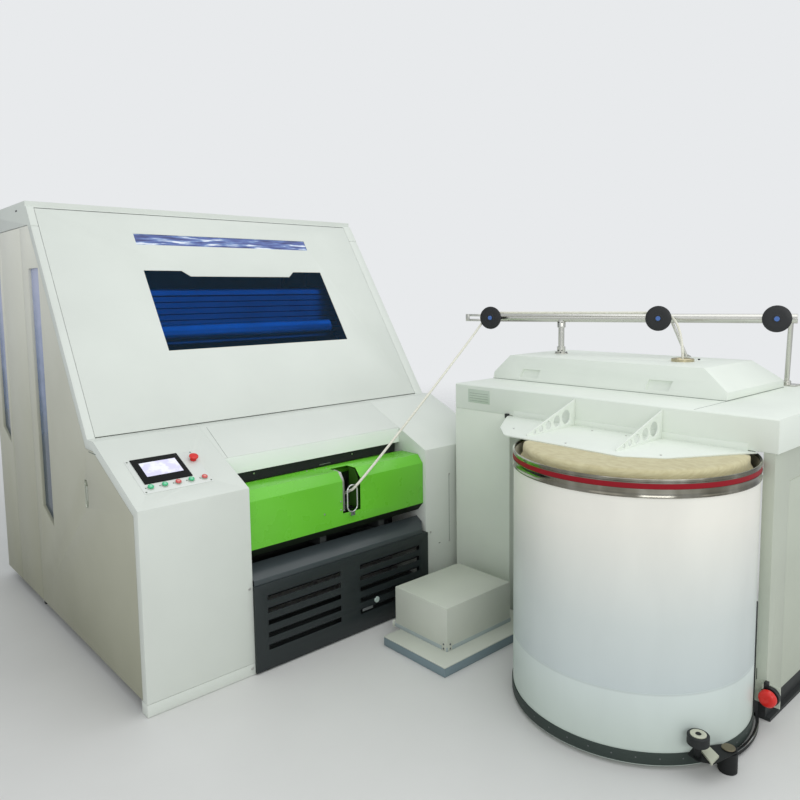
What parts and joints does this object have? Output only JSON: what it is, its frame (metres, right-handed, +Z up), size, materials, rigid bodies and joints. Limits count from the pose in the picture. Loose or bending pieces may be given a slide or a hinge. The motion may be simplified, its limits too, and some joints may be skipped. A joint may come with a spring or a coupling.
{
  "type": "carding machine",
  "caption": "Carding machine with a sloping windowed hood, green delivery cover, sliver guide pulleys, coiler and a full can.",
  "frame": {"origin": "floor level, under the middle of the whole machine", "axes": "+X along the card's front towards the coiler, +Y towards the card's rear, +Z up"},
  "size_m": [3.05, 4.109, 2.332],
  "materials": {
    "white_panel": "satin",
    "coiler_white": "satin",
    "green_paint": "gloss",
    "dark_paint": "satin",
    "base_paint": "satin",
    "frame_paint": "satin",
    "cast": "matte",
    "steel": "brushed",
    "bright_steel": "polished",
    "flat_aluminium": "satin",
    "window_glass": "tinted",
    "screen": "gloss",
    "green_button": "gloss",
    "red_button": "gloss",
    "stop_red": "gloss",
    "black_plastic": "matte",
    "can_plastic": "satin",
    "can_base": "matte",
    "rim_chrome": "polished",
    "cotton": "matte",
    "brass_ring": "satin",
    "tyre_rubber": "matte",
    "box_paint": "satin",
    "brush_fibre": "brushed"
  },
  "bodies": {
    "machine": {"base_frame": "base_paint", "levelling_feet": "steel", "side_frame_left": "cast", "side_frame_right": "cast", "flats_drive": "black_plastic", "flat_bars": "flat_aluminium", "green_cover": "green_paint", "delivery_beam": "frame_paint", "wire_eye": "bright_steel", "grey_shelf": "dark_paint", "vent_panel": "dark_paint", "tower_left": "white_panel", "tower_right": "white_panel", "control_plate": "steel", "display": "screen", "centre_panel": "white_panel", "roof": "white_panel", "rear_cover": "white_panel", "rear_panels_left": "white_panel", "side_panels_right": "white_panel", "coiler_floor": "base_paint", "coiler_stand": "coiler_white", "coiler_cabinet": "coiler_white", "coiler_head": "coiler_white", "lid": "coiler_white", "inlet_ring": "brass_ring", "can_guard": "coiler_white", "can_shell": "can_plastic", "can_base_ring": "can_base", "can_rim": "rim_chrome", "sliver_stack": "cotton", "arm_rail": "bright_steel", "drive_box": "box_paint", "guide_bar": "steel", "sliver": "cotton"},
    "main_cylinder": {"main_cylinder": "steel"},
    "doffer": {"doffer": "steel"},
    "licker_in": {"licker_in": "steel"},
    "flats_brush": {"flats_brush": "brush_fibre"},
    "calender_roll_left": {"calender_roll_left": "steel"},
    "calender_roll_right": {"calender_roll_right": "steel"},
    "hood_door": {"hood_door": "white_panel", "hood_windows": "window_glass"},
    "side_door": {"side_door_left": "white_panel", "side_window_left": "window_glass", "door_handle_left": "black_plastic"},
    "coiler_plate": {"coiler_plate": "steel"},
    "turntable": {"turntable": "steel"},
    "change_arm": {"change_arm": "frame_paint"},
    "arm_roller": {"arm_roller": "tyre_rubber"},
    "emergency_stop": {"emergency_stop": "stop_red"},
    "stop_button": {"stop_button": "stop_red"},
    "pulley_1": {"pulley_1": "black_plastic"},
    "pulley_2": {"pulley_2": "black_plastic"},
    "pulley_3": {"pulley_3": "black_plastic"},
    "push_button_1": {"push_button_1": "green_button"},
    "push_button_2": {"push_button_2": "green_button"},
    "push_button_3": {"push_button_3": "red_button"},
    "push_button_4": {"push_button_4": "green_button"},
    "push_button_5": {"push_button_5": "red_button"}
  },
  "joints": [
    {"name": "cylinder_spin", "type": "hinge", "parent": "machine", "child": "main_cylinder", "pos_m": [-0.425, 0.9645, 1.15], "axis": [1, 0, 0], "continuous": true},
    {"name": "doffer_spin", "type": "hinge", "parent": "machine", "child": "doffer", "pos_m": [-0.425, 0.3725, 0.863], "axis": [1, 0, 0], "continuous": true},
    {"name": "licker_spin", "type": "hinge", "parent": "machine", "child": "licker_in", "pos_m": [-0.425, 1.4455, 0.92], "axis": [1, 0, 0], "continuous": true},
    {"name": "brush_spin", "type": "hinge", "parent": "machine", "child": "flats_brush", "pos_m": [-0.425, 0.7685, 1.596], "axis": [1, 0, 0], "continuous": true},
    {"name": "calender_left_spin", "type": "hinge", "parent": "machine", "child": "calender_roll_left", "pos_m": [-0.4133, 0.0045, 0.69], "axis": [0, 0, 1], "continuous": true},
    {"name": "calender_right_spin", "type": "hinge", "parent": "machine", "child": "calender_roll_right", "pos_m": [-0.3367, 0.0045, 0.69], "axis": [0, 0, 1], "continuous": true},
    {"name": "hood_hinge", "type": "hinge", "parent": "machine", "child": "hood_door", "pos_m": [-0.425, 1.13941, 2.2847], "axis": [1, 0, 0], "range_deg": [-70, 0]},
    {"name": "side_door_hinge", "type": "hinge", "parent": "machine", "child": "side_door", "pos_m": [-1.517, 1.2825, 1.1], "axis": [0, 0, 1], "range_deg": [-100, 0]},
    {"name": "coiler_spin", "type": "hinge", "parent": "machine", "child": "coiler_plate", "pos_m": [0.991, -1.2795, 1.15], "axis": [0, 0, 1], "continuous": true},
    {"name": "turntable_spin", "type": "hinge", "parent": "machine", "child": "turntable", "pos_m": [0.991, -1.2795, 0.03], "axis": [0, 0, 1], "continuous": true},
    {"name": "arm_swing", "type": "hinge", "parent": "machine", "child": "change_arm", "pos_m": [-0.052, -2.0185, 0.09], "axis": [0, 0, 1], "range_deg": [0, 40]},
    {"name": "roller_spin", "type": "hinge", "parent": "change_arm", "child": "arm_roller", "pos_m": [-0.178, -1.9605, 0.145], "axis": [0, 0, 1], "continuous": true},
    {"name": "pulley_1_spin", "type": "hinge", "parent": "machine", "child": "pulley_1", "pos_m": [0.80114, -0.12415, 1.65], "axis": [-0.9449, -0.3272, 0], "continuous": true},
    {"name": "pulley_2_spin", "type": "hinge", "parent": "machine", "child": "pulley_2", "pos_m": [1.12803, -1.06815, 1.65], "axis": [-0.9449, -0.3272, 0], "continuous": true},
    {"name": "pulley_3_spin", "type": "hinge", "parent": "machine", "child": "pulley_3", "pos_m": [1.31978, -1.6219, 1.65], "axis": [-0.9449, -0.3272, 0], "continuous": true},
    {"name": "button_1_press", "type": "slide", "parent": "machine", "child": "push_button_1", "axis": [0, 0.4196, -0.9077], "range_m": [0, 0.004], "stiffness_N_per_m": 400},
    {"name": "button_2_press", "type": "slide", "parent": "machine", "child": "push_button_2", "axis": [0, 0.4196, -0.9077], "range_m": [0, 0.004], "stiffness_N_per_m": 400},
    {"name": "button_3_press", "type": "slide", "parent": "machine", "child": "push_button_3", "axis": [0, 0.4196, -0.9077], "range_m": [0, 0.004], "stiffness_N_per_m": 400},
    {"name": "button_4_press", "type": "slide", "parent": "machine", "child": "push_button_4", "axis": [0, 0.4196, -0.9077], "range_m": [0, 0.004], "stiffness_N_per_m": 400},
    {"name": "button_5_press", "type": "slide", "parent": "machine", "child": "push_button_5", "axis": [0, 0.4196, -0.9077], "range_m": [0, 0.004], "stiffness_N_per_m": 400},
    {"name": "emergency_press", "type": "slide", "parent": "machine", "child": "emergency_stop", "axis": [0, 0.4196, -0.9077], "range_m": [0, 0.005], "stiffness_N_per_m": 800},
    {"name": "stop_press", "type": "slide", "parent": "machine", "child": "stop_button", "axis": [1, 0, 0], "range_m": [0, 0.005], "stiffness_N_per_m": 800}
  ],
  "couplings": [
    {"joint": "licker_spin", "follows": "cylinder_spin", "ratio": -2.4},
    {"joint": "calender_left_spin", "follows": "doffer_spin", "ratio": 6.6},
    {"joint": "calender_right_spin", "follows": "doffer_spin", "ratio": -6.6},
    {"joint": "turntable_spin", "follows": "coiler_spin", "ratio": -0.05}
  ]
}
